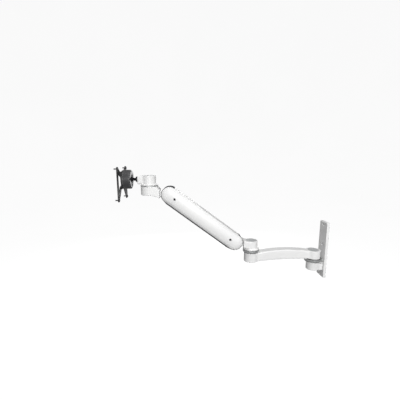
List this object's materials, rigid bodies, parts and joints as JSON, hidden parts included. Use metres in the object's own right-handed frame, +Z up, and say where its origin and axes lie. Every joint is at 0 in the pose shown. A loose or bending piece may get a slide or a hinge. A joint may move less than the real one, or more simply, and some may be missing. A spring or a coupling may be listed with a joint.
{
  "type": "monitor arm",
  "caption": "Wall-mounted monitor arm: swivelling extension, raised parallel lift arm in white shells, swivelling ball tilter and a square screen plate.",
  "frame": {"origin": "centre of the wall plate's back face, on the wall plane", "axes": "+X into the wall, +Z up, the arm reaches along -X"},
  "size_m": [0.724, 0.1126, 0.3993],
  "materials": {
    "white_paint": "satin powder coat",
    "white_shell": "satin moulded plastic",
    "grey_cap": "fine matte",
    "dark_channel": "satin",
    "zinc_steel": "zinc plated",
    "ground_steel": "ground",
    "brushed_steel": "turned and brushed",
    "black_polymer": "matte",
    "bush_polymer": "matte",
    "black_paint": "fine texture",
    "chrome_rod": "polished",
    "black_screw": "black oxide",
    "black_oxide": "black oxide",
    "drum_black": "satin",
    "grey_screw": "phosphated"
  },
  "bodies": {
    "wall_mount": {"wall_plate": "white_paint", "wall_bracket": "white_paint", "bracket_screws": "zinc_steel", "wall_spindle": "ground_steel", "wall_spindle_pin": "ground_steel", "wall_thrust_disc": "brushed_steel", "wall_friction_washers": "black_polymer", "wall_spring_washers": "ground_steel", "wall_lock_nut": "zinc_steel"},
    "extension": {"extension_arm": "white_paint", "wall_bushes": "bush_polymer", "wall_cap": "grey_cap", "elbow_spindle": "ground_steel", "elbow_spindle_pin": "ground_steel", "elbow_thrust_disc": "brushed_steel", "elbow_friction_washers": "black_polymer", "elbow_spring_washers": "ground_steel", "elbow_lock_nut": "zinc_steel"},
    "elbow": {"elbow_knuckle": "white_paint", "elbow_bushes": "bush_polymer", "elbow_cap": "grey_cap", "rear_pins": "ground_steel", "rear_pin_clip": "zinc_steel", "spring_anchor": "zinc_steel", "anchor_nut": "zinc_steel"},
    "lift_arm": {"main_link": "dark_channel", "near_cover": "white_shell", "far_cover": "white_shell", "cover_screws": "black_screw", "main_link_bushes": "bush_polymer", "spring_front_pin": "ground_steel", "gas_spring_cylinder": "black_paint"},
    "spring_rod": {"gas_spring_rod": "chrome_rod", "gas_spring_rear_eye": "zinc_steel"},
    "parallel_link": {"second_link": "zinc_steel", "second_link_bushes": "bush_polymer"},
    "front": {"front_knuckle": "white_paint", "lift_stop_screw": "black_screw", "front_pins": "ground_steel", "front_pin_clip": "zinc_steel", "front_spindle": "ground_steel", "front_spindle_pin": "ground_steel", "front_thrust_disc": "brushed_steel", "front_friction_washers": "black_polymer", "front_spring_washers": "ground_steel", "front_lock_nut": "zinc_steel"},
    "head": {"tilter_hub": "white_paint", "front_bushes": "bush_polymer", "front_cap": "grey_cap", "ball_stud": "black_oxide", "ball_stud_nut": "black_oxide"},
    "tilter": {"tilter_housing": "drum_black", "rear_ball_seat": "bush_polymer", "front_ball_seat": "bush_polymer", "housing_front_plate": "drum_black", "housing_screws": "black_screw", "vesa_friction_washer": "black_polymer", "vesa_retaining_screw": "black_screw"},
    "screen_mount": {"vesa_plate": "black_paint", "vesa_screws": "grey_screw"}
  },
  "joints": [
    {"name": "wall_swivel", "type": "hinge", "parent": "wall_mount", "child": "extension", "pos_m": [-0.0405, 0, -0.0325], "axis": [0, 0, 1], "range_deg": [-90, 90]},
    {"name": "elbow_swivel", "type": "hinge", "parent": "extension", "child": "elbow", "pos_m": [-0.2691, 0, 0.0055], "axis": [0, 0, -1], "range_deg": [-120, 120]},
    {"name": "lift", "type": "hinge", "parent": "elbow", "child": "lift_arm", "pos_m": [-0.3311, 0, 0.0345], "axis": [0, 1, 0], "range_deg": [-77, 3]},
    {"name": "second_link_turn", "type": "hinge", "parent": "elbow", "child": "parallel_link", "pos_m": [-0.3311, 0, 0.0505], "axis": [0, 1, 0], "range_deg": [-77.2, 3.2]},
    {"name": "front_level", "type": "hinge", "parent": "lift_arm", "child": "front", "pos_m": [-0.55472, 0, 0.20301], "axis": [0, 1, 0], "range_deg": [-3.2, 77.2]},
    {"name": "spring_stroke", "type": "slide", "parent": "lift_arm", "child": "spring_rod", "axis": [0.7633, 0, -0.646], "range_m": [-0.01772, 0.00098]},
    {"name": "front_swivel", "type": "hinge", "parent": "front", "child": "head", "pos_m": [-0.62272, 0, 0.2355], "axis": [0, 0, 1], "range_deg": [-90, 90]},
    {"name": "tilt", "type": "hinge", "parent": "head", "child": "tilter", "pos_m": [-0.692, 0, 0.2552], "axis": [0, 1, 0], "range_deg": [-35, 20]},
    {"name": "screen_rotate", "type": "hinge", "parent": "tilter", "child": "screen_mount", "pos_m": [-0.708, 0, 0.2552], "axis": [1, 0, 0], "range_deg": [-90, 90]}
  ],
  "couplings": [
    {"joint": "second_link_turn", "follows": "lift", "ratio": 1},
    {"joint": "front_level", "follows": "lift", "ratio": -1},
    {"joint": "spring_stroke", "follows": "lift", "m_per_rad": 0.012966}
  ]
}
